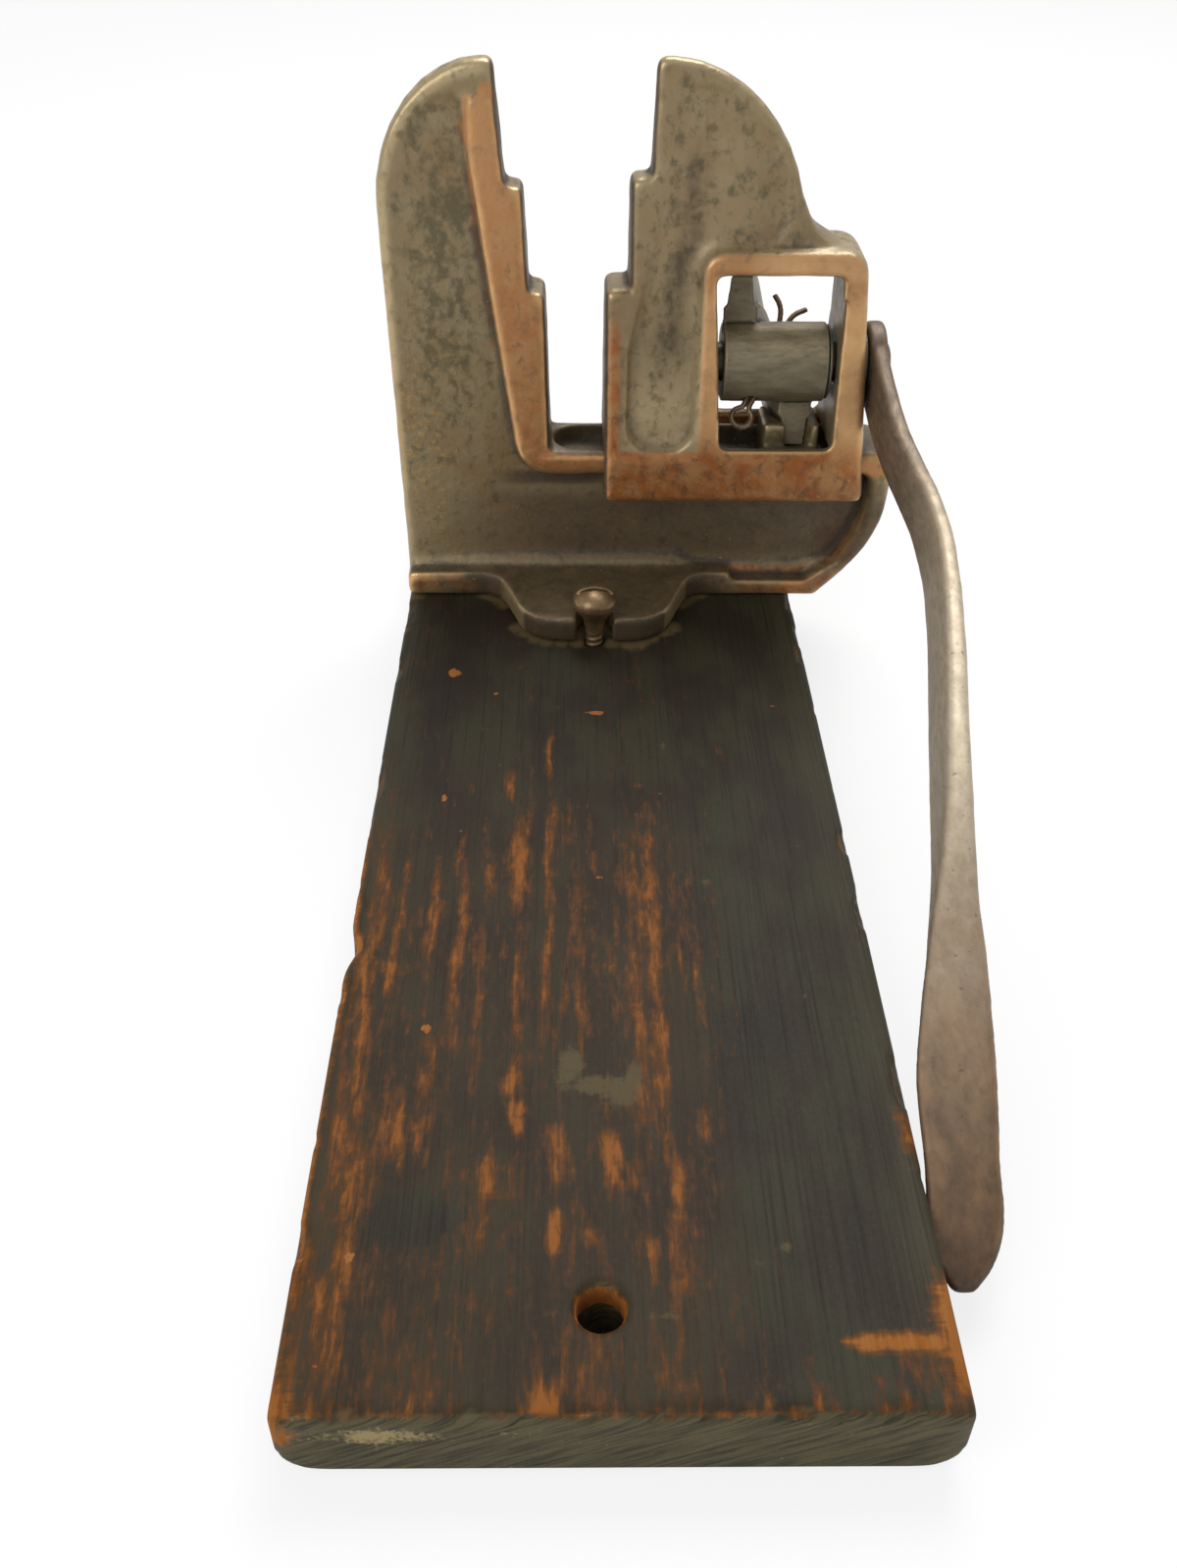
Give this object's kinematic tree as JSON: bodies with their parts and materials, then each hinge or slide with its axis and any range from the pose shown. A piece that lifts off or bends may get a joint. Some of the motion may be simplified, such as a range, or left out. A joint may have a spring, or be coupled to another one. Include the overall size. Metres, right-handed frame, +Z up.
{
  "type": "lever nutcracker press",
  "caption": "Bench nutcracker with a stepped jaw that slides on a cast rail, driven by a helical cam under a long hand lever, on a wooden board.",
  "frame": {"origin": "centre of the board's underside", "axes": "+X the way the jaw slides open, +Y along the board towards the casting, +Z up"},
  "size_m": [0.1759, 0.4, 0.1989],
  "materials": {
    "stained_wood": "worn near-black stain with orange wear along the grain",
    "bronzed_casting": "worn bronzed coat over iron, dull, with coppery rubbed edges",
    "grey_casting": "dark oily grey iron, half dull",
    "lever_steel": "mottled grey-brown steel, half dull",
    "dark_steel": "dark handled steel",
    "brown_wire": "browned steel wire",
    "screw_metal": "darkened bronze, polished by wear on the head"
  },
  "bodies": {
    "frame": {"base_board": "stained_wood", "frame_casting": "bronzed_casting", "front_base_screw": "screw_metal", "rear_base_screw": "screw_metal"},
    "sliding_jaw": {"sliding_jaw": "bronzed_casting"},
    "lever": {"cam_barrel": "grey_casting", "cam_shaft": "dark_steel", "cotter_pin": "brown_wire", "thrust_washer": "dark_steel", "lever_washer": "dark_steel", "lever": "lever_steel"}
  },
  "joints": [
    {"name": "jaw_slide", "type": "slide", "parent": "frame", "child": "sliding_jaw", "axis": [1, 0, 0], "range_m": [0, 0.0123]},
    {"name": "lever_swing", "type": "hinge", "parent": "sliding_jaw", "child": "lever", "pos_m": [0, 0.126, 0.105], "axis": [-1, 0, 0], "range_deg": [0, 110]}
  ],
  "couplings": [
    {"joint": "jaw_slide", "follows": "lever_swing", "m_per_rad": 0.0063662}
  ]
}
